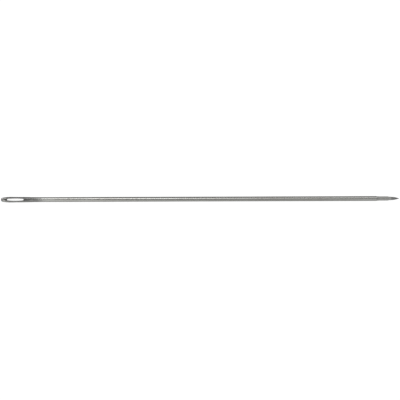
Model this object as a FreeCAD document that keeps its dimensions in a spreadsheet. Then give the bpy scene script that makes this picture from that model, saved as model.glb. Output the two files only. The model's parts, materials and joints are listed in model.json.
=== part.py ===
"""Straight upholstery needle, one piece of hardened and polished steel wire.

The needle lies flat along X with its eye at the -X end and its point at the +X end.
The wire is round. At the eye it was pressed between dies, so it is wider and thinner
there, and a long slot goes down through it. On both faces a gutter leads the thread into
the slot: a long one on the wire's side and a short one on the crown's side. The crown is
ground round. The point has three long ground flats, which run out onto the wire in the
hollow that the wheel leaves. Near the tip three deeper flats are ground over them, which
start in a small step and close to a sharp tip.

The needle is drawn along its own axis, from the crown's end at x = 0 to the tip, and is
then placed with its middle over the origin and the wire's underside at z = 0.
"""
import FreeCAD
import Part
import Sketcher
import math
import os

SIZES = (
    ("needle_length", 203.2, "crown to tip, an 8 inch needle"),
    ("wire_diameter", 2.41, "13 gauge wire"),
    ("crown_length", 2.96, "crown's end to the slot"),
    ("crown_narrowing", 0.51, "how much narrower than the wire the crown's end is"),
    ("crown_thinning", 0.67, "how much thinner than the wire the crown's end is"),
    ("crown_radius", 0.76, "round edge of the crown's end"),
    ("shoulder_widening", 0.23, "how much wider than the wire the slot's front end is pressed"),
    ("shoulder_thinning", 0.43, "how much thinner than the wire the slot's front end is pressed"),
    ("eye_widening", 0.33, "how much wider than the wire the slot's middle is pressed"),
    ("eye_thinning", 0.47, "how much thinner than the wire the slot's middle is pressed"),
    ("throat_widening", 0.25, "how much wider than the wire the slot's back end is pressed"),
    ("throat_thinning", 0.39, "how much thinner than the wire the slot's back end is pressed"),
    ("press_length", 6.2, "slot's back end to where the wire is round again"),
    ("blend_length", 0.5, "round wire that the pressed skin runs onto"),
    ("slot_length", 8.6, "end to end"),
    ("slot_width", 1.14, "at the slot's middle"),
    ("slot_end_radius", 0.38, "round ends of the slot"),
    ("rim_radius", 0.22, "polished rim of the slot"),
    ("gutter_radius", 0.62, "round floor of both gutters"),
    ("gutter_web", 1.0, "metal between the two faces' gutters at their deepest"),
    ("long_gutter_sweep", 76.0, "arc along the floor of the gutter on the wire's side"),
    ("short_gutter_sweep", 9.0, "arc along the floor of the gutter on the crown's side"),
    ("short_gutter_reach", 1.2, "lowest place of the short gutter, behind the slot's front end"),
    ("point_length", 12.2, "tip to where the flats leave the round wire"),
    ("blade_depth", 0.515, "metal that the long flats take off the wire's side"),
    ("tip_reach", 7.3, "tip to where the tip's flats would leave the round wire"),
    ("tip_length", 3.2, "tip to where the tip's flats turn nearly parallel"),
    ("tip_depth", 0.75, "metal ground off the wire's side, where the tip begins to round in"),
    ("tip_taper", 2.7, "degrees that a tip's flat closes towards the tip"),
    ("wheel_radius", 5.0, "hollow that the grinding wheel leaves at a flat's end"),
)

GRIND_CLEARANCE = 0.4  # how far cutting profiles stand out of the metal
EDGE_TOLERANCE = 0.01  # how close an edge lies to the place that it is looked for
TIP_STOCK = 2.0  # wire left past the tip, which the three flats cut away
FLAT_COUNT = 3
FULL_TURN, HALF_TURN = 360.0, 180.0  # degrees
GUTTER_TURN = 30.0  # degrees, enough for both gutters to run out of the metal
CROWN_SHARE = 0.44  # most of the crown's thickness that its round edge may take
RIM_SHARE = 0.4  # most of the metal beside the slot that its rim may take
BLEND_PLACES = (1 / 3, 2 / 3)  # sections between the round wire and the slot's back end
SLOT_BACK = "dims.crown_length + dims.slot_length"
PRESS_END = f"{SLOT_BACK} + dims.press_length"
STATIONS = (  # pressed sections: name, place along the needle, width and thickness
    ("throat", SLOT_BACK,
     "dims.wire_diameter + dims.throat_widening", "dims.wire_diameter - dims.throat_thinning"),
    ("eye", "dims.crown_length + dims.slot_length / 2",
     "dims.wire_diameter + dims.eye_widening", "dims.wire_diameter - dims.eye_thinning"),
    ("shoulder", "dims.crown_length",
     "dims.wire_diameter + dims.shoulder_widening", "dims.wire_diameter - dims.shoulder_thinning"),
    ("crown", None,
     "dims.wire_diameter - dims.crown_narrowing", "dims.wire_diameter - dims.crown_thinning"),
)


def make_sheet(doc):
    """Spreadsheet with one named cell for each size."""
    sheet = doc.addObject("Spreadsheet::Sheet", "dims")
    for row, (alias, value, note) in enumerate(SIZES, start=1):
        sheet.set(f"A{row}", alias)
        sheet.set(f"B{row}", str(value))
        sheet.set(f"C{row}", note)
        sheet.setAlias(f"B{row}", alias)
    doc.recompute()
    return sheet


def origin_feature(body, role):
    """Plane or axis of the body's own origin."""
    return next(f for f in body.Origin.OriginFeatures if f.Role == role)


def new_sketch(body, name, plane, offset=None):
    """Empty sketch on an origin plane of the body, moved along the plane's normal."""
    sketch = body.newObject("Sketcher::SketchObject", name)
    sketch.AttachmentSupport = [(origin_feature(body, plane), "")]
    sketch.MapMode = "FlatFace"
    if offset:
        sketch.setExpression("AttachmentOffset.Base.z", offset)
    body.Document.recompute()
    return sketch


def bind(sketch, kind, *elements, name, start, formula):
    """Named dimension between sketch elements: its drawn value, and the formula that drives it."""
    index = sketch.addConstraint(Sketcher.Constraint(kind, *elements, start))
    sketch.renameConstraint(index, name)
    sketch.setExpression(f"Constraints.{name}", formula)


def edges_where(feature, test):
    """Names of the feature's edges that pass the test."""
    feature.Document.recompute()
    edges = enumerate(feature.Shape.Edges, start=1)
    return [f"Edge{number}" for number, edge in edges if test(edge)]


def make_ellipse_sketch(body, name, offset, width, thickness):
    """Ellipse across the needle: its long axis lies along Y and its short one along Z."""
    sketch = new_sketch(body, name, "YZ_Plane", offset)
    drawn = body.Document.dims.wire_diameter
    centre = FreeCAD.Vector(0, 0, 0)
    across, through = FreeCAD.Vector(drawn, 0, 0), FreeCAD.Vector(0, drawn / 2, 0)
    outline = sketch.addGeometry(Part.Ellipse(across, through, centre))
    sketch.exposeInternalGeometry(outline)
    major, minor = outline + 1, outline + 2
    sketch.addConstraint(Sketcher.Constraint("Coincident", outline, 3, -1, 1))
    sketch.addConstraint(Sketcher.Constraint("Horizontal", major))
    bind(sketch, "Distance", major, name="across", start=2 * drawn, formula=width)
    bind(sketch, "Distance", minor, name="through", start=drawn, formula=thickness)
    return sketch


def make_circle_sketch(body, name, offset, diameter):
    """Circle across the needle, centred on its axis."""
    sketch = new_sketch(body, name, "YZ_Plane", offset)
    drawn = body.Document.dims.wire_diameter
    centre, normal = FreeCAD.Vector(0, 0, 0), FreeCAD.Vector(0, 0, 1)
    circle = sketch.addGeometry(Part.Circle(centre, normal, drawn / 2))
    sketch.addConstraint(Sketcher.Constraint("Coincident", circle, 3, -1, 1))
    bind(sketch, "Diameter", circle, name="diameter", start=drawn, formula=diameter)
    return sketch


def add_wire(body):
    """Round wire from the end of the pressed part to past the tip."""
    start = f"{PRESS_END} + dims.blend_length"
    section = make_circle_sketch(body, "wire_section", start, "dims.wire_diameter")
    wire = body.newObject("PartDesign::Pad", "wire")
    wire.Profile = section
    wire.setExpression("Length", f"dims.needle_length + {TIP_STOCK} - ({start})")
    return section


def make_blend_sketch(body, number, place):
    """Section on the way from the round wire (place 0) to the slot's back end (place 1)."""
    eased = place * place * (3 - 2 * place)
    return make_ellipse_sketch(body, f"blend_section_{number}",
                               f"{PRESS_END} - dims.press_length * {place}",
                               f"dims.wire_diameter + dims.throat_widening * {eased}",
                               f"dims.wire_diameter - dims.throat_thinning * {eased}")


def add_pressed_end(body, wire_section):
    """Pressed end: one smooth skin from the round wire over the eye to the crown."""
    sections = [make_circle_sketch(body, "press_end_section", PRESS_END, "dims.wire_diameter")]
    for number, place in enumerate(BLEND_PLACES, start=1):
        sections.append(make_blend_sketch(body, number, place))
    for station, offset, width, thickness in STATIONS:
        sections.append(make_ellipse_sketch(body, f"{station}_section", offset, width, thickness))
    pressed = body.newObject("PartDesign::AdditiveLoft", "pressed_end")
    pressed.Profile = wire_section
    pressed.Sections = sections
    return pressed


def add_crown_round(body, pressed):
    """Round end of the crown: the edge of the pressed end's flat face is rounded off."""
    edge_names = edges_where(pressed, lambda edge: edge.CenterOfMass.x < EDGE_TOLERANCE)
    crown = body.newObject("PartDesign::Fillet", "crown_round")
    crown.Base = (pressed, edge_names)
    thickness = "(dims.wire_diameter - dims.crown_thinning)"
    crown.setExpression("Radius", f"min(dims.crown_radius; {thickness} * {CROWN_SHARE})")


def add_pocket(body, name, sketch):
    """Cuts a profile through the whole metal, to both sides of its plane."""
    pocket = body.newObject("PartDesign::Pocket", name)
    pocket.Profile = sketch
    pocket.Type = "ThroughAll"
    pocket.SideType = "Symmetric"
    return pocket


def add_slot(body):
    """Slot of the eye: two long shallow arcs joined by small round ends."""
    dims = body.Document.dims
    sketch = new_sketch(body, "slot_profile", "XY_Plane")
    half_width = dims.slot_width / 2
    end_radius = dims.slot_end_radius
    centre_x = dims.crown_length + dims.slot_length / 2
    reach = dims.slot_length / 2 - end_radius
    side_radius = (reach**2 + half_width**2 - end_radius**2) / (2 * (half_width - end_radius))
    lean = math.asin(reach / (side_radius - end_radius))
    quarter = math.pi / 2
    normal = FreeCAD.Vector(0, 0, 1)

    def arc(x, y, radius, start, end):
        circle = Part.Circle(FreeCAD.Vector(x, y, 0), normal, radius)
        return sketch.addGeometry(Part.ArcOfCircle(circle, start, end))

    top = arc(centre_x, half_width - side_radius, side_radius, quarter - lean, quarter + lean)
    near = arc(centre_x - reach, 0, end_radius, quarter + lean, 3 * quarter - lean)
    bottom = arc(centre_x, side_radius - half_width, side_radius,
                 3 * quarter - lean, 3 * quarter + lean)
    far = arc(centre_x + reach, 0, end_radius, -quarter + lean, quarter - lean)
    crest = sketch.addGeometry(Part.Point(FreeCAD.Vector(centre_x, half_width, 0)), True)
    for first, second in ((top, near), (near, bottom), (bottom, far), (far, top)):
        sketch.addConstraint(Sketcher.Constraint("Tangent", first, 2, second, 1))
    sketch.addConstraint(Sketcher.Constraint("Equal", near, far))
    sketch.addConstraint(Sketcher.Constraint("Equal", top, bottom))
    sketch.addConstraint(Sketcher.Constraint("PointOnObject", near, 3, -1))
    sketch.addConstraint(Sketcher.Constraint("PointOnObject", far, 3, -1))
    sketch.addConstraint(Sketcher.Constraint("PointOnObject", crest, 1, top))
    sketch.addConstraint(Sketcher.Constraint("Vertical", crest, 1, top, 3))
    bind(sketch, "Radius", near, name="end_radius", start=end_radius,
         formula="dims.slot_end_radius")
    bind(sketch, "DistanceX", -1, 1, near, 3, name="front", start=centre_x - reach,
         formula="dims.crown_length + dims.slot_end_radius")
    bind(sketch, "DistanceX", near, 3, far, 3, name="between_ends", start=2 * reach,
         formula="dims.slot_length - 2 * dims.slot_end_radius")
    bind(sketch, "DistanceY", -1, 1, crest, 1, name="half_width", start=half_width,
         formula="dims.slot_width / 2")
    return add_pocket(body, "eye_slot", sketch)


def add_rim(body, slot):
    """Polished rim: the slot's edges on both faces are rounded."""
    dims = body.Document.dims

    def on_rim(edge):
        middle = edge.CenterOfMass
        along = dims.crown_length < middle.x < dims.crown_length + dims.slot_length
        beside = abs(middle.y) < dims.slot_width / 2
        on_one_face = edge.BoundBox.ZMin * edge.BoundBox.ZMax > 0
        return along and beside and on_one_face

    edge_names = edges_where(slot, on_rim)
    rim = body.newObject("PartDesign::Fillet", "eye_rim")
    rim.Base = (slot, edge_names)
    wall = "(dims.wire_diameter + dims.eye_widening - dims.slot_width) / 2"
    rim.setExpression("Radius", f"min(dims.rim_radius; {wall} * {RIM_SHARE})")


def add_gutter(body, name, lowest, sweep, towards_tip):
    """Gutter on the upper face: a round cutter swung on an arc about an axis across the needle."""
    dims = body.Document.dims
    sketch = new_sketch(body, f"{name}_section", "YZ_Plane", lowest)
    radius = dims.gutter_radius
    cutter_height = dims.gutter_web / 2 + radius
    pivot_height = dims.gutter_web / 2 + getattr(dims, sweep)
    circle = sketch.addGeometry(
        Part.Circle(FreeCAD.Vector(0, cutter_height, 0), FreeCAD.Vector(0, 0, 1), radius))
    pivot = FreeCAD.Vector(0, pivot_height, 0)
    axis = sketch.addGeometry(
        Part.LineSegment(pivot, pivot + FreeCAD.Vector(radius, 0, 0)), True)
    sketch.addConstraint(Sketcher.Constraint("PointOnObject", circle, 3, -2))
    sketch.addConstraint(Sketcher.Constraint("PointOnObject", axis, 1, -2))
    sketch.addConstraint(Sketcher.Constraint("Horizontal", axis))
    bind(sketch, "Radius", circle, name="round_floor", start=radius,
         formula="dims.gutter_radius")
    bind(sketch, "DistanceX", axis, 1, axis, 2, name="axis_length", start=radius,
         formula="dims.gutter_radius")
    bind(sketch, "DistanceY", -1, 1, circle, 3, name="cutter_height", start=cutter_height,
         formula="dims.gutter_web / 2 + dims.gutter_radius")
    bind(sketch, "DistanceY", -1, 1, axis, 1, name="pivot_height", start=pivot_height,
         formula=f"dims.gutter_web / 2 + dims.{sweep}")
    gutter = body.newObject("PartDesign::Groove", name)
    gutter.Profile = sketch
    gutter.ReferenceAxis = (sketch, ["Axis0"])
    gutter.Angle = GUTTER_TURN
    gutter.Reversed = towards_tip
    return gutter


def add_gutters(body):
    """Both gutters on the upper face, and the same two on the lower face."""
    long_gutter = add_gutter(body, "long_gutter", "dims.crown_length + dims.slot_length / 2",
                             "long_gutter_sweep", towards_tip=True)
    short_gutter = add_gutter(body, "short_gutter", "dims.crown_length + dims.short_gutter_reach",
                              "short_gutter_sweep", towards_tip=False)
    lower = body.newObject("PartDesign::Mirrored", "lower_gutters")
    lower.Originals = [long_gutter, short_gutter]
    lower.MirrorPlane = (origin_feature(body, "XY_Plane"), [""])
    body.Tip = lower


def finish_flat(sketch, flat, flat_end, taper, past_tip, reach):
    """Closes a flat's profile: the wheel's hollow at the flat's end, and a clear way back round.

    The hollow meets the wire's skin at the size that reach names, counted back from the tip.
    """
    dims = sketch.Document.dims
    radius, wheel = dims.wire_diameter / 2, dims.wheel_radius
    meeting_x = dims.needle_length - getattr(dims, reach)
    wheel_centre = flat_end + FreeCAD.Vector(math.sin(taper), math.cos(taper), 0) * wheel
    run_out = math.acos((wheel_centre.y - radius - GRIND_CLEARANCE) / wheel)
    out = wheel_centre - FreeCAD.Vector(math.sin(run_out), math.cos(run_out), 0) * wheel
    above = FreeCAD.Vector(out.x, radius + 2 * GRIND_CLEARANCE, 0)
    front = FreeCAD.Vector(past_tip.x, above.y, 0)

    hollow = sketch.addGeometry(Part.ArcOfCircle(
        Part.Circle(wheel_centre, FreeCAD.Vector(0, 0, 1), wheel),
        3 * math.pi / 2 - run_out, 3 * math.pi / 2 - taper))
    rise = sketch.addGeometry(Part.LineSegment(out, above))
    over = sketch.addGeometry(Part.LineSegment(above, front))
    fall = sketch.addGeometry(Part.LineSegment(front, past_tip))
    meets_wire = sketch.addGeometry(Part.Point(FreeCAD.Vector(meeting_x, radius, 0)), True)

    sketch.addConstraint(Sketcher.Constraint("Tangent", flat, 2, hollow, 2))
    for first, end, second, start in ((hollow, 1, rise, 1), (rise, 2, over, 1),
                                      (over, 2, fall, 1), (fall, 2, 0, 1)):
        sketch.addConstraint(Sketcher.Constraint("Coincident", first, end, second, start))
    sketch.addConstraint(Sketcher.Constraint("Vertical", rise))
    sketch.addConstraint(Sketcher.Constraint("Horizontal", over))
    sketch.addConstraint(Sketcher.Constraint("Vertical", fall))
    sketch.addConstraint(Sketcher.Constraint("PointOnObject", meets_wire, 1, hollow))
    bind(sketch, "Radius", hollow, name="wheel", start=wheel, formula="dims.wheel_radius")
    bind(sketch, "DistanceX", -1, 1, meets_wire, 1, name="reach", start=meeting_x,
         formula=f"dims.needle_length - dims.{reach}")
    bind(sketch, "DistanceY", -1, 1, meets_wire, 1, name="wire_radius", start=radius,
         formula="dims.wire_diameter / 2")
    bind(sketch, "DistanceY", meets_wire, 1, hollow, 1, name="run_out", start=GRIND_CLEARANCE,
         formula=f"{GRIND_CLEARANCE}")
    bind(sketch, "DistanceY", hollow, 1, rise, 2, name="clear_above", start=GRIND_CLEARANCE,
         formula=f"{GRIND_CLEARANCE}")
    bind(sketch, "DistanceX", -1, 1, fall, 2, name="stock", start=past_tip.x,
         formula=f"dims.needle_length + {TIP_STOCK}")


def flat_sketch(body, name):
    """Empty sketch for a flat's profile, with its upper side turned down on the needle.

    So the first flat faces down, and one of the point's edges lies on top while the eye is flat.
    """
    sketch = new_sketch(body, name, "XZ_Plane")
    sketch.AttachmentOffset = FreeCAD.Placement(
        FreeCAD.Vector(0, 0, 0), FreeCAD.Rotation(FreeCAD.Vector(1, 0, 0), HALF_TURN))
    return sketch


def add_long_flat(body):
    """First grind: a long shallow flat along the point, parallel to the needle."""
    dims = body.Document.dims
    sketch = flat_sketch(body, "long_flat_profile")
    length, wheel = dims.needle_length, dims.wheel_radius
    blade = dims.wire_diameter / 2 - dims.blade_depth
    run = math.sqrt(wheel**2 - (wheel - dims.blade_depth)**2)
    past_tip = FreeCAD.Vector(length + TIP_STOCK, blade, 0)
    flat_end = FreeCAD.Vector(length - dims.point_length + run, blade, 0)
    flat = sketch.addGeometry(Part.LineSegment(past_tip, flat_end))
    sketch.addConstraint(Sketcher.Constraint("Horizontal", flat))
    finish_flat(sketch, flat, flat_end, 0, past_tip, "point_length")
    bind(sketch, "DistanceY", -1, 1, flat, 1, name="blade_height", start=blade,
         formula="dims.wire_diameter / 2 - dims.blade_depth")
    return add_pocket(body, "long_flat", sketch)


def add_tip_flat(body):
    """Second grind: a deeper flat near the tip, which starts in a step and rounds in to the tip."""
    dims = body.Document.dims
    sketch = flat_sketch(body, "tip_flat_profile")
    length, tip_length, wheel = dims.needle_length, dims.tip_length, dims.wheel_radius
    height = dims.wire_diameter / 2 - dims.tip_depth
    taper = math.radians(dims.tip_taper)
    chord = math.atan2(height, tip_length)
    tip_angle = 2 * chord - taper
    tip = FreeCAD.Vector(length, 0, 0)
    past_tip = tip + FreeCAD.Vector(TIP_STOCK, -TIP_STOCK * math.tan(tip_angle), 0)
    flat_start = FreeCAD.Vector(length - tip_length, height, 0)
    bulge = (tip_angle - taper) / 4
    crown = (tip + flat_start) / 2 + FreeCAD.Vector(
        math.sin(chord), math.cos(chord), 0) * (tip_length / 2 / math.cos(chord) * math.tan(bulge))
    flat_end_x = length - dims.tip_reach + wheel / 2
    flat_end = FreeCAD.Vector(
        flat_end_x, height + (length - tip_length - flat_end_x) * math.tan(taper), 0)

    tip_line = sketch.addGeometry(Part.LineSegment(past_tip, tip))
    tip_arc = sketch.addGeometry(Part.Arc(tip, crown, flat_start))
    flat = sketch.addGeometry(Part.LineSegment(flat_start, flat_end))
    sketch.addConstraint(Sketcher.Constraint("Tangent", tip_line, 2, tip_arc, 1))
    sketch.addConstraint(Sketcher.Constraint("Tangent", tip_arc, 2, flat, 1))
    sketch.addConstraint(Sketcher.Constraint("PointOnObject", tip_arc, 1, -1))
    finish_flat(sketch, flat, flat_end, taper, past_tip, "tip_reach")
    bind(sketch, "DistanceX", -1, 1, tip_arc, 1, name="tip", start=length,
         formula="dims.needle_length")
    bind(sketch, "DistanceX", flat, 1, tip_arc, 1, name="tip_length", start=tip_length,
         formula="dims.tip_length")
    bind(sketch, "DistanceY", -1, 1, flat, 1, name="tip_height", start=height,
         formula="dims.wire_diameter / 2 - dims.tip_depth")
    bind(sketch, "Angle", flat, 2, -1, 1, name="taper", start=taper,
         formula="dims.tip_taper")
    return add_pocket(body, "tip_flat", sketch)


def add_point(body):
    """Three-square point: both flats are ground along the needle and repeated round the axis."""
    first_flats = [add_long_flat(body), add_tip_flat(body)]
    flats = body.newObject("PartDesign::PolarPattern", "point_flats")
    flats.Originals = first_flats
    flats.Axis = (origin_feature(body, "X_Axis"), [""])
    flats.Angle = FULL_TURN
    flats.Occurrences = FLAT_COUNT
    body.Tip = flats


def make_needle(doc):
    """Whole needle, built along its own axis and then laid on the z = 0 plane."""
    body = doc.addObject("PartDesign::Body", "needle")
    body.Label = "needle"
    wire_section = add_wire(body)
    pressed = add_pressed_end(body, wire_section)
    add_crown_round(body, pressed)
    slot = add_slot(body)
    add_rim(body, slot)
    add_gutters(body)
    add_point(body)
    body.setExpression("Placement.Base.x", "-dims.needle_length / 2")
    body.setExpression("Placement.Base.z", "dims.wire_diameter / 2")
    doc.recompute()
    return body


def check(doc, parts):
    """Stops the build if a feature failed or a part isn't one valid solid."""
    failed = [o.Name for o in doc.Objects if "Invalid" in o.State or "Error" in o.State]
    if failed:
        raise RuntimeError(f"features failed: {failed}")
    for part in parts:
        shape = part.Shape
        if shape.isNull() or not shape.isValid() or len(shape.Solids) != 1:
            raise RuntimeError(f"{part.Label} isn't one valid solid")


def main():
    doc = FreeCAD.newDocument("upholstery_needle")
    make_sheet(doc)
    parts = [make_needle(doc)]
    check(doc, parts)
    os.makedirs("parts", exist_ok=True)
    for part in parts:
        part.Shape.exportStep(f"parts/{part.Label}.step")
        box = part.Shape.BoundBox
        print(f"{part.Label}: {part.Shape.Volume:.1f} mm3, {box.XLength:.3f} x "
              f"{box.YLength:.3f} x {box.ZLength:.3f} mm")


main()
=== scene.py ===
# %% [markdown]
# # A straight upholstery needle
#
# The needle is one length of polished steel wire, eight inches long. One end is pressed flat and
# pierced with a long eye, and the other is ground to a point with three flats. This lesson makes
# its skin as one closed surface from a few formulas, gives it a steel that shows how each part of
# it was worked, and lays it on a pale table under soft light. The solid model is loaded first,
# because the needle's length and the wire's thickness are taken from it.

# %% Load the solid needle and measure it
import bmesh
import bpy
import json
import math
import numpy as np
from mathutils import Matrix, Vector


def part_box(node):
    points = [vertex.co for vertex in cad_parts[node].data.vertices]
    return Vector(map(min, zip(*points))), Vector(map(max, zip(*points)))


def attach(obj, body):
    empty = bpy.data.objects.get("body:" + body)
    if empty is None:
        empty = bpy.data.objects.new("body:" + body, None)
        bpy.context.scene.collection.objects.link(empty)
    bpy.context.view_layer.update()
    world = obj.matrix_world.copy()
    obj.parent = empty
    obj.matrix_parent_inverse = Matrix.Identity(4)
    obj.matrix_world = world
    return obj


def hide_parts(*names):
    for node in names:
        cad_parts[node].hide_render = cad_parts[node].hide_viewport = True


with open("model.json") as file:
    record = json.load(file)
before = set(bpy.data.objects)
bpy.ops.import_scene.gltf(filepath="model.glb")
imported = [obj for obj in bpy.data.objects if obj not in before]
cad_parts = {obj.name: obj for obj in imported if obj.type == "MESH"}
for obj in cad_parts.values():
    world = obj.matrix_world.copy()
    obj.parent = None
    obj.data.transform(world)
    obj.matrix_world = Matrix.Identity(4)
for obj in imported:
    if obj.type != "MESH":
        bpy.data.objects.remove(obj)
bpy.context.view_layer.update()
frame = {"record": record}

MM = 0.001
low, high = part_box("needle")
shaft = next(m for m in frame["record"]["mounts"] if m["name"] == "shaft")
LENGTH = (high.x - low.x) / MM
WIRE_RADIUS = shaft["dims"]["r_mm"]
print(f"needle {LENGTH:.2f} mm long, wire {2 * WIRE_RADIUS:.2f} mm thick")

# %% [markdown]
# ## How the surface is laid out
#
# The shape is the same on both sides of the plane through its axis and its eye, so one half is
# worked out and then mirrored. The half is a grid. One way it runs along the needle, from the
# crown's end at x = 0 to the tip, and the other way it runs round the needle, from the lowest line
# over the side to the highest line. All sizes are in millimetres until the mesh is made.

# %% Sizes of the half grid, and a helper for spacing
ROUND_STEPS = 72
QUARTER_STEPS = ROUND_STEPS // 2
SECTOR_STEPS = ROUND_STEPS // 3
QUARTER = math.pi / 2
TINY = 1e-9


def eased(t):
    """Smooth step: 0 before 0, 1 after 1, and 3 t squared less 2 t cubed between them."""
    t = np.clip(t, 0, 1)
    return t * t * (3 - 2 * t)


def spaced(start, end, count, lean=0.0):
    """Places from start up to, but not at, end. lean 1 bunches them at the start by one minus the
    cosine of an even quarter turn, lean -1 bunches them at the end, and 0 spaces them evenly."""
    t = np.arange(count) / count
    if lean > 0:
        t = 1 - np.cos(QUARTER * t)
    elif lean < 0:
        t = np.sin(QUARTER * t)
    return start + (end - start) * t


print(f"{ROUND_STEPS} steps round each half")

# %% [markdown]
# ## The pressed end
#
# A die squeezes the wire where the eye will be, so the wire gets wider there and thinner. Seen
# along the needle each slice is an ellipse. Its half width and its half thickness change along the
# needle as two smooth curves: a polynomial through the few places where the die sets the size.

# %% Half width and half thickness of the pressed end
CROWN_LENGTH, SLOT_LENGTH, PRESS_LENGTH, BLEND_LENGTH = 2.96, 8.6, 6.2, 0.5
SLOT_BACK = CROWN_LENGTH + SLOT_LENGTH
PRESS_END = SLOT_BACK + PRESS_LENGTH
WIRE_START = PRESS_END + BLEND_LENGTH
WIDENED = (-0.51, 0.23, 0.33, 0.25)
THINNED = (0.67, 0.43, 0.47, 0.39)
DIE_PLACES = np.array([0, CROWN_LENGTH, CROWN_LENGTH + SLOT_LENGTH / 2, SLOT_BACK,
                       SLOT_BACK + PRESS_LENGTH / 3, SLOT_BACK + 2 * PRESS_LENGTH / 3,
                       PRESS_END, WIRE_START])
FADE = eased(np.array([2 / 3, 1 / 3, 0, 0]))


def die_curve(changes):
    """Polynomial of the 7th degree through the wire's radius plus half of each change. After the
    eye the last change fades to nothing in smooth steps."""
    change = np.concatenate([changes, changes[-1] * FADE]) / 2
    return np.polyfit(DIE_PLACES / WIRE_START, WIRE_RADIUS + change, len(DIE_PLACES) - 1)


HALF_WIDTH = die_curve(np.array(WIDENED))
HALF_THICKNESS = die_curve(-np.array(THINNED))


def pressed(curve, x):
    """Value of a die curve at x, and the wire's radius behind the pressed end."""
    return np.where(x < WIRE_START, np.polyval(curve, x / WIRE_START), WIRE_RADIUS)


CROWN_RADIUS, ROUND_LENGTH, ROUND_POWER = 0.76, 0.95, 2.5


def rounded(curve, x):
    """Die curve less the crown's round end. With u falling from 1 at x = 0 to 0 at the round's
    length, the drop is the radius times 1 less the root of (1 less u to the round's power). So the
    end stands square on x = 0 and runs onto the curve with no sudden change of bend."""
    u = np.clip(1 - x / ROUND_LENGTH, 0, 1)
    return pressed(curve, x) - CROWN_RADIUS * (1 - np.sqrt(1 - u**ROUND_POWER))


along = np.linspace(0, WIRE_START, 500)
print(f"widest {2 * rounded(HALF_WIDTH, along).max():.2f} mm, "
      f"thinnest beside the eye {2 * rounded(HALF_THICKNESS, along[100:]).min():.2f} mm")

# %% [markdown]
# ## The eye and its gutters
#
# The slot of the eye is a lens with small round ends, pierced straight through. Its rim is polished
# round so that it doesn't cut the thread. On both faces a gutter leads into the slot, so that the
# thread lies sunk behind the needle's shoulders while it is pulled through webbing. A gutter is the
# track of a round cutter that swings on an arc: deep at the slot, and running out to nothing.

# %% Outline of the slot
SLOT_HALF, SLOT_END_RADIUS, RIM_RADIUS = 0.57, 0.38, 0.22
SLOT_MIDDLE = CROWN_LENGTH + SLOT_LENGTH / 2
REACH = SLOT_LENGTH / 2 - SLOT_END_RADIUS
SIDE_RADIUS = (REACH**2 + SLOT_HALF**2 - SLOT_END_RADIUS**2) / (2 * (SLOT_HALF - SLOT_END_RADIUS))
SIDE_DEPTH = SIDE_RADIUS - SLOT_HALF
SIDE_LEAN = math.asin(REACH / (SIDE_RADIUS - SLOT_END_RADIUS))


def slot_half_width(x):
    """Half width of the slot at x: the long side arc, or the small end arc past where they touch."""
    away = np.abs(x - SLOT_MIDDLE)
    side = np.sqrt(np.maximum(SIDE_RADIUS**2 - away**2, 0)) - SIDE_DEPTH
    end = np.sqrt(np.maximum(SLOT_END_RADIUS**2 - (away - REACH)**2, 0))
    inside = away < REACH + SLOT_END_RADIUS
    return np.where(inside, np.where(away < SIDE_RADIUS * math.sin(SIDE_LEAN), side, end), 0)


def outside_slot(x, y):
    """Distance from the slot's outline, for a point beside or before the slot. Which arc is the
    nearer one depends on the angle of the point seen from the side arc's centre."""
    away = np.abs(x - SLOT_MIDDLE)
    by_side = np.arctan2(away, y + SIDE_DEPTH) < SIDE_LEAN
    side = np.hypot(away, y + SIDE_DEPTH) - SIDE_RADIUS
    end = np.hypot(away - REACH, y) - SLOT_END_RADIUS
    return np.maximum(np.where(by_side, side, end), 0)


print(f"slot {SLOT_LENGTH:.2f} x {2 * SLOT_HALF:.2f} mm")

# %% Floors of the gutters
GUTTER_RADIUS, GUTTER_WEB = 0.62, 1.0
LONG_SWEEP, SHORT_SWEEP = 76.0, 9.0
LONG_DEEPEST, SHORT_DEEPEST = SLOT_MIDDLE, CROWN_LENGTH + 1.2
GUTTER_END = LONG_DEEPEST + math.sqrt(LONG_SWEEP**2 - (LONG_SWEEP + GUTTER_WEB / 2 - WIRE_RADIUS)**2)
CUTTER_STEEPNESS, LIP_SOFTNESS = 5, 0.09


def gutter_floor(x):
    """Height of the lower of the two gutter floors over the needle's axis. Each is an arc that is
    lowest over the slot. The long one climbs slowly towards the wire, and both climb quickly the
    other ways."""
    behind = x - LONG_DEEPEST
    sweep = np.where(behind > 0, LONG_SWEEP, SHORT_SWEEP)
    long_floor = sweep - np.sqrt(np.maximum(sweep**2 - behind**2, 0))
    short_floor = SHORT_SWEEP - np.sqrt(np.maximum(SHORT_SWEEP**2 - (x - SHORT_DEEPEST)**2, 0))
    return GUTTER_WEB / 2 + np.minimum(long_floor, short_floor)


def gutter_height(x, y):
    """Height of the gutter's round surface at (x, y), rising steeply outside the cutter."""
    across = np.minimum(np.abs(y), GUTTER_RADIUS)
    sunk = gutter_floor(x) + GUTTER_RADIUS - np.sqrt(GUTTER_RADIUS**2 - across**2)
    return sunk + CUTTER_STEEPNESS * (np.abs(y) - across)


def gutter_lip(x):
    """How far from the middle plane the gutter's surface meets the ellipse, or 0 if it doesn't.
    Both are conics, so their common height is the root of a quadratic."""
    wide, thick = rounded(HALF_WIDTH, x), rounded(HALF_THICKNESS, x)
    centre = gutter_floor(x) + GUTTER_RADIUS
    a = 1 - (wide / thick)**2
    c = wide**2 + centre**2 - GUTTER_RADIUS**2
    height = c / (centre + np.sqrt(np.maximum(centre**2 - a * c, 0)))
    return wide * np.sqrt(np.clip(1 - (height / thick)**2, 0, 1))


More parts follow.
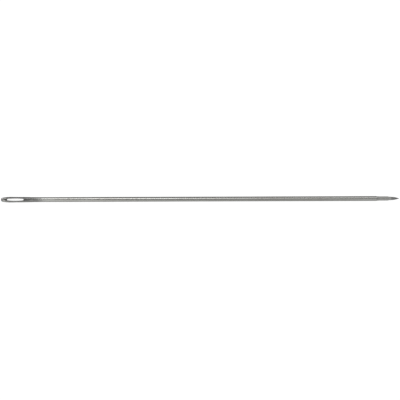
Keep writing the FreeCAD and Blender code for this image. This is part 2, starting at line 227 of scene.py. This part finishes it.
def top_height(x, y):
    """Height of the upper face: the lower of the ellipse and the gutter, with their meeting line
    softened as on polished metal, less the round rim of the slot."""
    wide, thick = rounded(HALF_WIDTH, x), rounded(HALF_THICKNESS, x)
    skin = thick * np.sqrt(np.maximum(1 - (y / wide)**2, 0))
    gutter = gutter_height(x, y)
    closeness = np.maximum(1 - np.abs(skin - gutter) / LIP_SOFTNESS, 0)
    worked = np.minimum(skin, gutter) - LIP_SOFTNESS / 4 * closeness**2
    rim = np.minimum(outside_slot(x, y), RIM_RADIUS)
    return worked - RIM_RADIUS + np.sqrt(RIM_RADIUS**2 - (RIM_RADIUS - rim)**2)


print(f"gutter {2 * gutter_lip(np.array(SLOT_BACK + 1)):.2f} mm wide 1 mm behind the slot, "
      f"and it ends {GUTTER_END:.1f} mm from the crown's end")

# %% [markdown]
# ## The rows of the pressed end
#
# A row of the grid is one slice across the needle. In the pressed end the points of a row are
# bunched where the surface turns quickly: at the gutter's lip and at the slot's edge. The rows
# themselves are bunched along the needle at the crown and at both ends of the slot.

# %% Rows from the crown's end to the round wire
LIP_STEPS, LIP_LEAN = 16, 1.5
LEAST_LIP, MOST_LIP = 0.25, 0.8


def quarter_row(x):
    """Quarter slices, one row for each x, as arrays of y and z from the side to the top. Outside the
    lip the points follow the ellipse's angle, bunched towards the lip. Inside it they follow a
    half cosine wave, bunched at the lip and at the slot's edge or the middle plane."""
    x = x[:, None]
    wide = rounded(HALF_WIDTH, x)
    inner = slot_half_width(x)
    by_slot = (x > CROWN_LENGTH - RIM_RADIUS) & (x < SLOT_BACK + RIM_RADIUS)
    lip = np.maximum(gutter_lip(x), np.where(by_slot, inner + RIM_RADIUS, 0))
    lip = np.clip(lip, LEAST_LIP * wide, MOST_LIP * wide)
    outer_t = 1 - (1 - np.arange(LIP_STEPS) / LIP_STEPS)**LIP_LEAN
    outer_y = wide * np.cos(np.arccos(lip / wide) * outer_t)
    inner_t = np.linspace(0, math.pi, QUARTER_STEPS - LIP_STEPS + 1)
    inner_y = inner + (lip - inner) * (1 + np.cos(inner_t)) / 2
    y = np.concatenate([outer_y, inner_y], axis=1)
    return y, top_height(x, y)


def half_row(x):
    """Half slices: the quarter mirrored down, from the lowest point over the side to the highest."""
    y, z = quarter_row(x)
    return np.concatenate([y[:, :0:-1], y], axis=1), np.concatenate([-z[:, :0:-1], z], axis=1)


head_x = np.concatenate([
    spaced(0, CROWN_RADIUS, 24, lean=1),
    spaced(CROWN_RADIUS, CROWN_LENGTH - RIM_RADIUS, 26),
    spaced(CROWN_LENGTH - RIM_RADIUS, CROWN_LENGTH, 12, lean=-1),
    spaced(CROWN_LENGTH, CROWN_LENGTH + SLOT_END_RADIUS, 14, lean=1),
    spaced(CROWN_LENGTH + SLOT_END_RADIUS, SLOT_BACK - SLOT_END_RADIUS, 100),
    spaced(SLOT_BACK - SLOT_END_RADIUS, SLOT_BACK, 14, lean=-1),
    spaced(SLOT_BACK, SLOT_BACK + RIM_RADIUS, 12, lean=1),
    spaced(SLOT_BACK + RIM_RADIUS, WIRE_START, 84),
    [WIRE_START]])
head_y, head_z = half_row(head_x)
print(f"pressed end: {len(head_x)} rows of {head_y.shape[1]} points")

# %% [markdown]
# ## The point
#
# The last half inch is ground twice. First come three long shallow flats, a third of a turn apart,
# and where the wheel lifts off each one it leaves a hollow. Then three deeper flats are ground over
# them near the tip. They start in a small step and round in until they meet in a sharp tip. Each
# slice is therefore a circle cut by three lines, with the corners a little rounded by polishing.

# %% Profile of a flat, as its distance from the needle's axis
POINT_LENGTH, BLADE_DEPTH = 12.2, 0.515
TIP_REACH, TIP_LENGTH, TIP_DEPTH, TIP_TAPER = 7.3, 3.2, 0.75, 2.7
WHEEL_RADIUS = 5.0
BLADE, TIP_HEIGHT = WIRE_RADIUS - BLADE_DEPTH, WIRE_RADIUS - TIP_DEPTH
CHORD = math.atan2(TIP_HEIGHT, TIP_LENGTH)
TIP_ANGLE = 2 * CHORD - math.radians(TIP_TAPER)
TIP_RADIUS = math.hypot(TIP_HEIGHT, TIP_LENGTH) / (2 * math.sin(TIP_ANGLE - CHORD))


def ground_flat(back, reach, start, height, degrees):
    """Distance of a ground flat from the axis, at a length back from the tip. It is a line that
    starts at a height and rises by some degrees, then the hollow of the wheel, which meets the
    wire's skin at the reach. Also gives how far back the line ends."""
    taper = math.radians(degrees)
    run, above = reach - start, WIRE_RADIUS - height
    rise = above * math.cos(taper) - run * math.sin(taper)
    hollow_run = math.sqrt(2 * WHEEL_RADIUS * rise - rise**2)
    end = start + (run * math.cos(taper) + above * math.sin(taper) - hollow_run) * math.cos(taper)
    line = height + (back - start) * math.tan(taper)
    centre = end - WHEEL_RADIUS * math.sin(taper)
    middle = height + (end - start) * math.tan(taper) + WHEEL_RADIUS * math.cos(taper)
    hollow = middle - np.sqrt(np.maximum(WHEEL_RADIUS**2 - (back - centre)**2, 0))
    return np.where(back < end, line, np.where(back < reach, hollow, WIRE_RADIUS)), end


def flat_distance(x):
    """Distance of the flats from the axis: the lower of the long flat and the tip's flat, which
    ends in an arc that reaches the axis at the tip."""
    back = LENGTH - x
    long_flat, _ = ground_flat(back, POINT_LENGTH, 0, BLADE, 0)
    tip_flat, _ = ground_flat(back, TIP_REACH, TIP_LENGTH, TIP_HEIGHT, TIP_TAPER)
    tip = np.sqrt(np.maximum(TIP_RADIUS**2 - (back - TIP_RADIUS * math.sin(TIP_ANGLE))**2, 0))
    tip_flat = np.where(back < TIP_LENGTH, tip - TIP_RADIUS * math.cos(TIP_ANGLE), tip_flat)
    return np.clip(np.minimum(long_flat, tip_flat), 0, WIRE_RADIUS)


LONG_END = ground_flat(np.array(0.0), POINT_LENGTH, 0, BLADE, 0)[1]
TIP_END = ground_flat(np.array(0.0), TIP_REACH, TIP_LENGTH, TIP_HEIGHT, TIP_TAPER)[1]
STEP_SAMPLES, STEP_TOLERANCE = 2000, 1e-6
fine = np.linspace(TIP_END, TIP_REACH, STEP_SAMPLES)
STEP_PLACE = fine[np.searchsorted(flat_distance(LENGTH - fine) - BLADE, -STEP_TOLERANCE)]
print(f"long flats end {LONG_END:.2f} mm before the tip, the step is at {STEP_PLACE:.2f} mm")

# %% Rows of the point
SIXTH = math.pi / 3
EDGE_RADIUS, EDGE_SHARE = 0.04, 0.35
FLAT_STEPS = SECTOR_STEPS // 2
FIRST_ANGLE = math.radians(6)
GATHER_LENGTH = 5.0
HOLLOW_ROWS, HOLLOW_LEAN = 44, 2
TIP_ROWS, TIP_LEAN = 60, 1.4


def sector(x):
    """Half of one flat's share of each slice, as angle and distance from the axis, with 1 on the
    flat and 0 on the wire. The angle runs from the flat's middle to half way to the next flat. The
    corner is an arc that touches the flat and the wire, or two flats where they meet. Half of the
    points lie evenly on the flat, and the rest at even turns of the surface beyond it."""
    x = x[:, None]
    flat = flat_distance(x)
    edge = np.minimum(EDGE_RADIUS, EDGE_SHARE * flat)
    turn = np.arccos(np.clip((flat - edge) / (WIRE_RADIUS - edge), math.cos(SIXTH), 1))
    centre = (flat - edge) / np.cos(turn)
    corner = np.arctan2(centre * np.sin(turn), flat)
    gathered = eased((LENGTH - POINT_LENGTH - x) / GATHER_LENGTH)
    least = FIRST_ANGLE + (SIXTH / 2 - FIRST_ANGLE) * gathered
    start = np.maximum(corner, least)
    steps = np.arange(FLAT_STEPS + 1) / FLAT_STEPS
    on_flat = np.arctan(steps[:-1] * np.tan(start))
    even = start + (SIXTH - start) * steps
    facing = SIXTH * steps
    on_corner = np.arctan2(centre * np.sin(turn) + edge * np.sin(facing),
                           centre * np.cos(turn) + edge * np.cos(facing))
    beyond = np.where(corner < least, even, np.where(facing < turn, on_corner, facing))
    even_flat = start * steps[:-1]
    angle = np.concatenate([np.where(corner < least, even_flat, on_flat), beyond], axis=1)
    across = np.minimum(np.abs(centre * np.sin(angle - turn)), edge)
    round_corner = centre * np.cos(angle - turn) + np.sqrt(edge**2 - across**2)
    on_face = angle <= corner + TINY
    in_corner = angle <= turn + TINY
    distance = np.where(on_face, flat / np.cos(angle),
                        np.where(in_corner, round_corner, WIRE_RADIUS))
    return angle, distance, (on_face & (corner > 0)).astype(float)


def around(values, flip):
    """Lays a half sector's values round half the needle: half of the lowest flat, edge, the side
    flat, and the highest edge. flip is -1 for angles, which change sign past a flat's middle."""
    return np.concatenate([values[:, :-1], flip * values[:, ::-1], values[:, 1:]], axis=1)


point_x = LENGTH - np.concatenate([
    spaced(POINT_LENGTH + GATHER_LENGTH, POINT_LENGTH, 24),
    POINT_LENGTH - (POINT_LENGTH - LONG_END) * (np.arange(HOLLOW_ROWS) / HOLLOW_ROWS)**HOLLOW_LEAN,
    spaced(LONG_END, STEP_PLACE, 20),
    spaced(STEP_PLACE, TIP_END, 24),
    spaced(TIP_END, TIP_LENGTH, 12),
    TIP_LENGTH * (1 - np.arange(TIP_ROWS) / TIP_ROWS)**TIP_LEAN,
    [0]])
angle, distance, flat_mask = sector(point_x)
MIDDLES = np.repeat([-QUARTER, SIXTH / 2], [SECTOR_STEPS, 2 * SECTOR_STEPS + 1])
point_angle = MIDDLES + around(angle, -1)
point_distance = around(distance, 1)
point_ground = around(flat_mask, 1)
print(f"point: {len(point_x)} rows, flats {BLADE:.2f} mm from the axis")

# %% [markdown]
# ## The wire between, and the slot's wall
#
# Between the eye and the point the needle is plain round wire, so a few rows are enough. Their
# points drift from the places that suit the eye to even steps. All rows are then stacked into one
# grid for the skin, and a second grid makes the slot's wall from the upper face to the lower one.

# %% Rows of the plain wire
SETTLE_LENGTH = 12.0
wire_x = np.concatenate([spaced(WIRE_START, WIRE_START + SETTLE_LENGTH, 24)[1:],
                         spaced(WIRE_START + SETTLE_LENGTH, point_x[0], 60)])
eye_angle = np.arctan2(head_z[-1], head_y[-1])
even_angle = np.linspace(-QUARTER, QUARTER, ROUND_STEPS + 1)
settled = eased((wire_x - WIRE_START) / SETTLE_LENGTH)[:, None]
wire_angle = eye_angle + (even_angle - eye_angle) * settled
print(f"plain wire: {len(wire_x)} rows")

# %% Stack the rows and add the slot's wall
CAP_RINGS = 5
WALL_STEPS = 16
scale = (np.arange(CAP_RINGS) / CAP_RINGS)[:, None]
skin_x = np.concatenate([np.zeros(CAP_RINGS), head_x, wire_x, point_x])
skin_y = np.concatenate([scale * head_y[0], head_y, WIRE_RADIUS * np.cos(wire_angle),
                         point_distance * np.cos(point_angle)])
skin_z = np.concatenate([scale * head_z[0], head_z, WIRE_RADIUS * np.sin(wire_angle),
                         point_distance * np.sin(point_angle)])
skin_x = np.broadcast_to(skin_x[:, None], skin_y.shape)
in_slot = (head_x >= CROWN_LENGTH - TINY) & (head_x <= SLOT_BACK + TINY)
wall_t = np.linspace(1, -1, WALL_STEPS + 1)
wall_z = head_z[in_slot][:, -1:] * wall_t
wall_y = np.broadcast_to(slot_half_width(head_x[in_slot])[:, None], wall_z.shape)
wall_x = np.broadcast_to(head_x[in_slot][:, None], wall_z.shape)
skin = np.stack([skin_x, skin_y, skin_z], axis=-1)
wall = np.stack([wall_x, wall_y, wall_z], axis=-1)
print(f"half skin {skin.shape[:2]}, half wall {wall.shape[:2]}")

# %% [markdown]
# ## Marks for the finish
#
# The steel needs to know two things that its place alone doesn't tell: which points were ground
# flat, and which lie sunk in a gutter or in the slot, where no polishing wheel reaches and where
# the steel gets painted shade.

# %% How far each point was ground, and how far it lies sunk
SUNK_DEPTH = 0.25


def depth_below_skin(x, y, z):
    """How far a point of the pressed end lies below the uncut ellipse, measured upright."""
    wide, thick = rounded(HALF_WIDTH, x), rounded(HALF_THICKNESS, x)
    return thick * np.sqrt(np.maximum(1 - (y / wide)**2, 0)) - np.abs(z)


ground = np.zeros(skin_y.shape)
ground[-len(point_x):] = point_ground
sunk = np.zeros(skin_y.shape)
head_depth = depth_below_skin(head_x[:, None], head_y, head_z)
# Sunk points get the dull colour, which is also painted shade, more the deeper they lie.
sunk[CAP_RINGS:CAP_RINGS + len(head_x)] = eased(head_depth / SUNK_DEPTH)
print(f"{int(ground.sum())} points on the flats, {int((sunk > 0.5).sum())} sunk")

# %% [markdown]
# ## A flat map of the skin
#
# Other programs show the finish as a picture that is wrapped round the piece, so each face needs
# its place on a flat map. The unrolled skin is 27 times as long as it is wide, and as one strip it
# would leave most of the picture empty. So it is cut across into five strips that lie side by side
# and fill the square, with the two halves of the slot's wall in the room that is left.

# %% Unroll both grids
STRIPS, MAP_GAP = 5, 0.3
SKIN_WIDTH = math.pi * WIRE_RADIUS
WALL_WIDTH = 2 * wall_z.max()


def grid_faces(rows, columns, first=0):
    """Corner numbers of the squares between neighbouring rows and columns, counted from first."""
    number = first + np.arange(rows * columns).reshape(rows, columns)
    return np.stack([number[:-1, :-1], number[1:, :-1], number[1:, 1:], number[:-1, 1:]],
                    axis=-1).reshape(-1, 4)


def unrolled(grid, width):
    """Flat places of the corners of a grid's faces. Along the needle it is the mean distance walked
    from row to row, and round it the share walked of the row's length, times the width."""
    steps = np.linalg.norm(np.diff(grid, axis=0), axis=-1).mean(axis=1)
    along = np.concatenate([[0], np.cumsum(steps)])
    steps = np.maximum(np.linalg.norm(np.diff(grid, axis=1), axis=-1), TINY)
    share = np.cumsum(steps, axis=1) / steps.sum(axis=1, keepdims=True)
    share = np.concatenate([np.zeros((len(grid), 1)), share], axis=1)
    flat = np.stack([np.broadcast_to(along[:, None], share.shape), width * share], axis=-1)
    return flat.reshape(-1, 2)[grid_faces(*grid.shape[:2])]


flat_skin, flat_wall = unrolled(skin, SKIN_WIDTH), unrolled(wall, WALL_WIDTH)
print(f"unrolled skin {flat_skin[..., 0].max():.1f} x {2 * SKIN_WIDTH:.1f} mm")

# %% Cut the skin into strips and lay everything on the map
strip_length = flat_skin[..., 0].max() / STRIPS
strip = np.floor(flat_skin[..., 0].mean(axis=1) / strip_length).astype(int)
strip_start = np.array([flat_skin[strip == number, :, 0].min() for number in range(STRIPS)])
flat_skin[..., 0] -= strip_start[strip][:, None]
strip_width = 2 * SKIN_WIDTH + MAP_GAP
strip_side = np.stack([0 * strip, strip * strip_width], axis=-1)[:, None]
wall_side = STRIPS * strip_width
wall_shift = flat_wall[..., 0].max() + MAP_GAP
first_half = np.concatenate([flat_skin * [1, -1] + strip_side + [0, 2 * SKIN_WIDTH],
                             flat_wall * [1, -1] + [0, wall_side + WALL_WIDTH]])
second_half = np.concatenate([flat_skin + strip_side, flat_wall + [wall_shift, wall_side]])
flat_map = np.concatenate([first_half, second_half[:, ::-1]]) + MAP_GAP
map_size = flat_map.max() + MAP_GAP
flat_map /= map_size
filled = flat_map.max(axis=(0, 1))
print(f"map of {map_size:.1f} mm, filled to {filled[0]:.3f} by {filled[1]:.3f}")

# %% [markdown]
# ## One closed skin
#
# A mesh keeps its points, its faces, its marks and its flat map in one block of data. The half is
# mirrored, points that meet are merged, and the faces are turned to look outwards. A count of the
# open edges shows whether the skin is closed: on a closed skin each edge has two faces.

# %% Make the mesh
MERGE_DISTANCE = 2e-8


def closed_mesh(name, points, faces, marks, flat_map):
    """Mesh of a half and its mirror image, with points that meet merged and faces turned out."""
    count = len(points)
    both = np.concatenate([points, points * [1, -1, 1]])
    corners = np.concatenate([faces, faces[:, ::-1] + count])
    mesh = bpy.data.meshes.new(name)
    mesh.from_pydata(both.tolist(), [], corners.tolist())
    mesh.uv_layers.new(name="OFBake").uv.foreach_set("vector", flat_map.ravel().astype(np.float32))
    for mark, values in marks.items():
        layer = mesh.attributes.new(mark, "FLOAT", "POINT")
        layer.data.foreach_set("value", np.tile(values, 2).astype(np.float32))
    solid = bmesh.new()
    solid.from_mesh(mesh)
    bmesh.ops.remove_doubles(solid, verts=solid.verts, dist=MERGE_DISTANCE)
    bmesh.ops.recalc_face_normals(solid, faces=solid.faces)
    open_edges = sum(not edge.is_manifold for edge in solid.edges)
    solid.to_mesh(mesh)
    solid.free()
    mesh.polygons.foreach_set("use_smooth", np.ones(len(mesh.polygons), bool))
    print(f"{name}: {len(mesh.vertices)} points, {len(mesh.polygons)} faces, {open_edges} open edges")
    return mesh


points = np.concatenate([skin.reshape(-1, 3), wall.reshape(-1, 3)])
placed = np.array([low.x, 0, WIRE_RADIUS * MM]) + points * MM
faces = np.concatenate([grid_faces(*skin.shape[:2]),
                        grid_faces(*wall.shape[:2], first=skin_x.size)])
# The slot's wall is marked fully sunk, so it gets the full painted shade.
marks = {"ground": np.concatenate([ground.ravel(), np.zeros(wall_x.size)]),
         "sunk": np.concatenate([sunk.ravel(), np.ones(wall_x.size)])}
mesh = closed_mesh("polished_needle", placed, faces, marks, flat_map)
needle = bpy.data.objects.new("polished_needle", mesh)
bpy.context.scene.collection.objects.link(needle)
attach(needle, "root")
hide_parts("needle")

# %% [markdown]
# ## The steel
#
# The wire was drawn through a die, pressed at one end, ground at the other, hardened, and polished
# along its length. Each step leaves its own trace, so the finish is made of layers: long polishing
# lines all along, uneven patches from hardening, pits where the dies held the eye, dull metal in
# the gutters where the polishing wheel can't reach, which is painted darker still as shade there
# and in the slot, lines across the flats from the grinding wheel, and painted shade on the tip's
# steep flats. All of it is noise in the needle's own space, which fits any part of the skin
# without a seam. Stretching the space turns round grains into lines.

# %% Helpers for the nodes
def start_nodes(name):
    """New material with an empty node tree. Gives the material and its tree."""
    material = bpy.data.materials.new(name)
    material.use_nodes = True
    material.node_tree.nodes.clear()
    return material, material.node_tree


def add_node(tree, kind, inputs, **options):
    """Node with some options. inputs gives each socket a value or the output of another node."""
    node = tree.nodes.new("ShaderNode" + kind)
    for name, value in options.items():
        setattr(node, name, value)
    for socket, value in inputs.items():
        if isinstance(value, bpy.types.NodeSocket):
            tree.links.new(value, node.inputs[socket])
        else:
            node.inputs[socket].default_value = value
    return node


def calculate(tree, operation, first, second):
    """Result of a sum on two numbers, kept between 0 and 1."""
    return add_node(tree, "Math", {0: first, 1: second}, operation=operation,
                    use_clamp=True).outputs[0]


def blend_colour(tree, share, first, second):
    """Colour that goes from the first to the second as share goes from 0 to 1."""
    return add_node(tree, "Mix", {0: share, 6: first, 7: second}, data_type="RGBA").outputs[2]


def blend_number(tree, share, first, second):
    """Number that goes from the first to the second as share goes from 0 to 1."""
    return add_node(tree, "Mix", {0: share, 2: first, 3: second}).outputs[0]


def grain(tree, per_metre, detail, least, most):
    """Noise with so many grains to the metre along x, y and z. Its range from least to most is
    spread from 0 to 1."""
    place = add_node(tree, "TexCoord", {}).outputs["Object"]
    stretched = add_node(tree, "Mapping", {"Vector": place, "Scale": per_metre}).outputs[0]
    noise = add_node(tree, "TexNoise", {"Vector": stretched, "Scale": 1.0, "Detail": detail})
    return add_node(tree, "MapRange", {"Value": noise.outputs[0], "From Min": least,
                                       "From Max": most}).outputs[0]


def stretch_of_needle(tree, start, end):
    """Goes smoothly from 0 to 1 between two distances from the crown's end, in millimetres."""
    place = add_node(tree, "TexCoord", {}).outputs["Object"]
    along = add_node(tree, "SeparateXYZ", {0: place}).outputs["X"]
    return add_node(tree, "MapRange", {"Value": along, "From Min": low.x + start * MM,
                                       "From Max": low.x + end * MM},
                    interpolation_type="SMOOTHSTEP").outputs[0]


def mark(tree, name):
    """One of the marks kept at the points of the mesh."""
    return add_node(tree, "Attribute", {}, attribute_name=name).outputs["Fac"]


print("helpers ready")

# %% Layers of the steel
steel, tree = start_nodes("polished_steel")
lines = grain(tree, (60, 12000, 12000), 4, 0.3, 0.7)
scratches = grain(tree, (90, 5200, 5200), 1, 0.68, 0.74)
patches = grain(tree, (55, 260, 260), 2, 0.35, 0.65)
pits = grain(tree, (2400, 2400, 2400), 4, 0.45, 0.75)
crossings = grain(tree, (26000, 800, 800), 3, 0.3, 0.7)
GRIP_START, GRIP_END = (1.5, 4), (GUTTER_END - 0.5, GUTTER_END + 5.5)
CROWN_HELD, LEAST_PITTED = 0.3, 0.72
# Where the painted shade on the tip's steep flats fades in, in mm from the crown's end.
TIP_SHADE_START = (LENGTH - 4.5, LENGTH - 3.8)
held = blend_number(tree, stretch_of_needle(tree, *GRIP_START), CROWN_HELD, 1)
held = calculate(tree, "SUBTRACT", held, stretch_of_needle(tree, *GRIP_END))
pitted = calculate(tree, "MULTIPLY", blend_number(tree, pits, LEAST_PITTED, 1), held)
# Sunk mask: the unpolished metal of the gutters and slot, painted darker still as shade.
sunk_and_shaded = mark(tree, "sunk")
flat = mark(tree, "ground")
# Mask of the painted shade: the flats of the last few millimetres before the tip.
tip = calculate(tree, "MULTIPLY", flat, stretch_of_needle(tree, *TIP_SHADE_START))
print(f"steel layers: {len(tree.nodes)} nodes")

# %% [markdown]
# ## Colour, roughness and relief
#
# Bare steel has no paint: its colour is the tint of its reflections, and its roughness is how much
# they are blurred. Each layer is a mask from 0 to 1 that lays its own colour and roughness over the
# ones before it. The sunk metal's dark colour is partly its dullness and partly painted shade, and
# the tip's darker colour is painted shade. The lines are also cut into the surface as a relief of
# a thousandth of a millimetre, which is too fine for the mesh.

# %% Colour, roughness and relief of the steel
BRIGHT, WARM, LINED = (0.222, 0.224, 0.214, 1), (0.2, 0.197, 0.186, 1), (0.172, 0.173, 0.165, 1)
# The second colour here is unpolished metal painted darker still as shade in the gutters and slot.
PITTED, DULL_AND_SHADED = (0.085, 0.085, 0.083, 1), (0.06, 0.06, 0.059, 1)
# The second colour here is painted shade for the steep flats of the tip.
FRESH, PAINTED_TIP_SHADE = (0.33, 0.33, 0.32, 1), (0.18, 0.18, 0.178, 1)
LINE_SHARE = 0.5
colour = blend_colour(tree, patches, BRIGHT, WARM)
colour = blend_colour(tree, calculate(tree, "MULTIPLY", lines, LINE_SHARE), colour, LINED)
colour = blend_colour(tree, pitted, colour, PITTED)
# Sunk metal: partly its unpolished dullness, partly painted shade.
colour = blend_colour(tree, sunk_and_shaded, colour, DULL_AND_SHADED)
colour = blend_colour(tree, flat, colour, FRESH)
# Painted shade on the tip's steep flats.
colour = blend_colour(tree, tip, colour, PAINTED_TIP_SHADE)
POLISHED, BRUSHED, SCRATCHED, WORN = 0.15, 0.22, 0.3, 0.42
FINELY_GROUND, COARSELY_GROUND = 0.2, 0.36
roughness = blend_number(tree, lines, POLISHED, BRUSHED)
roughness = blend_number(tree, scratches, roughness, SCRATCHED)
roughness = blend_number(tree, pitted, roughness, WORN)
roughness = blend_number(tree, sunk_and_shaded, roughness, WORN)
wheel_marks = blend_number(tree, crossings, FINELY_GROUND, COARSELY_GROUND)
roughness = blend_number(tree, flat, roughness, wheel_marks)
height = blend_number(tree, flat, calculate(tree, "SUBTRACT", lines, scratches), crossings)
height = blend_number(tree, pitted, height, 0)
RELIEF, EDGE_TINT = 1e-6, (0.2, 0.2, 0.2, 1)
bump = add_node(tree, "Bump", {"Strength": 1.0, "Distance": RELIEF, "Height": height})
shader = add_node(tree, "BsdfPrincipled", {
    "Metallic": 1.0, "Base Color": colour, "Roughness": roughness, "Normal": bump.outputs[0],
    "Specular Tint": EDGE_TINT})
add_node(tree, "OutputMaterial", {"Surface": shader.outputs[0]})
mesh.materials.append(steel)
print(f"steel: {len(tree.nodes)} nodes")

# %% [markdown]
# ## The table
#
# The needle lies on white paper that is so large that only a view from very low shows its end.
# Where the camera or a reflection sees the paper it is mostly an even white glow, which hides where
# the light falls off, and all other light finds plain matte paper.

# %% White paper
TABLE_SIZE = 12.0
half = TABLE_SIZE / 2
table_mesh = bpy.data.meshes.new("table")
table_mesh.from_pydata([(-half, -half, 0), (half, -half, 0), (half, half, 0), (-half, half, 0)],
                       [], [(0, 1, 2, 3)])
table = bpy.data.objects.new("table", table_mesh)
bpy.context.scene.collection.objects.link(table)
paper, tree = start_nodes("white_paper")
ray = add_node(tree, "LightPath", {}).outputs
seen = calculate(tree, "ADD", ray["Is Camera Ray"], ray["Is Glossy Ray"])
seen = calculate(tree, "ADD", seen, ray["Is Transmission Ray"])
PAPER_WHITE, GLOW, GLOW_SHARE = (0.85, 0.85, 0.85, 1), 1.05, 0.9
matte = add_node(tree, "BsdfDiffuse", {"Color": PAPER_WHITE})
glow = add_node(tree, "Emission", {"Strength": GLOW})
both = add_node(tree, "MixShader", {0: calculate(tree, "MULTIPLY", seen, GLOW_SHARE),
                                    1: matte.outputs[0], 2: glow.outputs[0]})
add_node(tree, "OutputMaterial", {"Surface": both.outputs[0]})
table_mesh.materials.append(paper)
print(f"table {TABLE_SIZE} m wide")

# %% [markdown]
# ## The light
#
# A round bar of polished metal is a mirror that shows the whole room squeezed into its width, so
# each streak along it is one lamp or window. The room is an even pale grey. A long window to one
# side draws the bright streak, and its panes get dimmer along the needle as the streak does. Wide
# panels low on the other side light the lower half of the wire, most of all at the eye, and a weak
# ceiling lamp softens the dark line between the two.

# %% Room and lamps
ROOM_GREY = (0.6, 0.6, 0.6, 1)
LAMP_DISTANCE = 0.8
world = bpy.data.worlds.new("studio")
bpy.context.scene.world = world
world.use_nodes = True
room = world.node_tree.nodes["Background"]
room.inputs["Color"].default_value = ROOM_GREY
room.inputs["Strength"].default_value = 1.0


def soft_lamp(name, place, size, radiance):
    """Flat lamp of a size, at a place along the needle, a height angle and a side. It lies at the
    lamps' distance and faces the needle's line. Its power is four times radiance times area."""
    along, degrees, side = place
    lamp = bpy.data.lights.new(name, "AREA")
    lamp.shape = "RECTANGLE"
    lamp.size, lamp.size_y = size
    lamp.energy = 4 * radiance * size[0] * size[1]
    holder = bpy.data.objects.new(name, lamp)
    up = math.radians(degrees)
    holder.location = (along, side * LAMP_DISTANCE * math.cos(up), LAMP_DISTANCE * math.sin(up))
    holder.rotation_euler = (side * (up - QUARTER), 0, 0)
    bpy.context.scene.collection.objects.link(holder)
    return holder


def row_of_lamps(name, edges, degrees, side, height, radiances):
    """Lamps side by side along the needle, each from one edge to the next, with its own radiance."""
    for number, radiance in enumerate(radiances):
        start, end = edges[number:number + 2]
        soft_lamp(f"{name}_{number + 1}", ((start + end) / 2, degrees, side), (end - start, height),
                  radiance)


WINDOW_ANGLE, WINDOW_HEIGHT = 54, 0.28
WINDOW_EDGES = (-0.6, -0.4, -0.2, -0.1, 0, 0.1, 0.2, 0.4, 0.6)
WINDOW_RADIANCES = (6, 7.5, 6.3, 5, 3.6, 3.3, 2.7, 3)
PANEL_ANGLE, PANEL_HEIGHT = 27, 0.7
PANEL_EDGES = (-0.6, -0.12, 0.2, 0.6)
PANEL_RADIANCES = (1.75, 0.85, 1.1)
CEILING_PLACE, CEILING_SIZE, CEILING_RADIANCE = (0.1, 80, -1), (0.8, 0.3), 0.5
row_of_lamps("window_pane", WINDOW_EDGES, WINDOW_ANGLE, 1, WINDOW_HEIGHT, WINDOW_RADIANCES)
row_of_lamps("panel", PANEL_EDGES, PANEL_ANGLE, -1, PANEL_HEIGHT, PANEL_RADIANCES)
soft_lamp("ceiling_lamp", CEILING_PLACE, CEILING_SIZE, CEILING_RADIANCE)
print(f"{len(bpy.data.lights)} lamps")

# %% [markdown]
# ## The camera
#
# The camera looks straight down on the needle, and the picture is as wide as needed for the needle
# to fill it from edge to edge. The camera is turned a little, so that the needle rises slightly to
# the right.

# %% Camera over the needle
PICTURE_SIZE, NEEDLE_PIXELS = 400, 398.2
NEEDLE_AT = (200.2, 199.05)
TILT = math.radians(0.19)
LENS = 90
PIXEL = LENGTH / NEEDLE_PIXELS * MM
camera_data = bpy.data.cameras.new("camera")
camera_data.lens = LENS
camera = bpy.data.objects.new("camera", camera_data)
camera_height = PICTURE_SIZE * PIXEL * camera_data.lens / camera_data.sensor_width
camera.location = ((PICTURE_SIZE / 2 - NEEDLE_AT[0]) * PIXEL,
                   (NEEDLE_AT[1] - PICTURE_SIZE / 2) * PIXEL,
                   WIRE_RADIUS * MM + camera_height)
camera.rotation_euler = (0, 0, -TILT)
bpy.context.scene.collection.objects.link(camera)
bpy.context.scene.camera = camera
bpy.context.scene.view_settings.view_transform = "Standard"
print(f"camera {camera_height:.3f} m over the needle")
